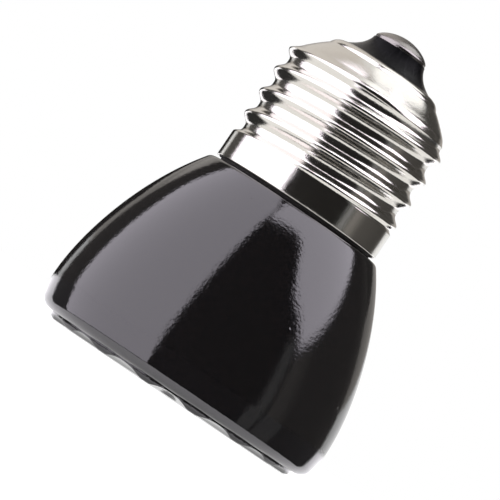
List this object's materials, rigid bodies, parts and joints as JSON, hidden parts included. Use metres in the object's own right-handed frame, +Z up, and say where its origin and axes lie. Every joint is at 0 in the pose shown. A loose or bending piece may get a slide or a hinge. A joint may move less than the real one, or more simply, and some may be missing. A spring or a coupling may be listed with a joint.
{
  "type": "infrared heat lamp",
  "caption": "Small ceramic infrared heat lamp: a black glazed, flared body with a petalled heating face on an Edison screw cap.",
  "frame": {"origin": "on the lamp's axis, in the plane of the heating face that it stands on", "axes": "+Z up the axis, from the heating face to the contact button; +X along the middle of one valley of the heating face"},
  "size_m": [0.045, 0.045, 0.0591],
  "materials": {
    "black_glaze": "gloss",
    "nickel": "polished",
    "black_glass": "gloss",
    "contact_metal": "satin",
    "cement": "matt",
    "resistance_wire": "dull",
    "nickel_wire": "satin",
    "white_sleeve": "matt",
    "weld": "dull"
  },
  "bodies": {
    "root": {"ceramic_body": "black_glaze", "heating_coil": "resistance_wire", "lead_to_contact": "nickel_wire", "lead_to_shell": "nickel_wire", "lead_sleeves": "white_sleeve", "cap_cement": "cement", "screw_shell": "nickel", "glass_insulator": "black_glass", "centre_contact": "contact_metal", "contact_weld": "weld", "shell_weld": "weld"}
  },
  "joints": []
}
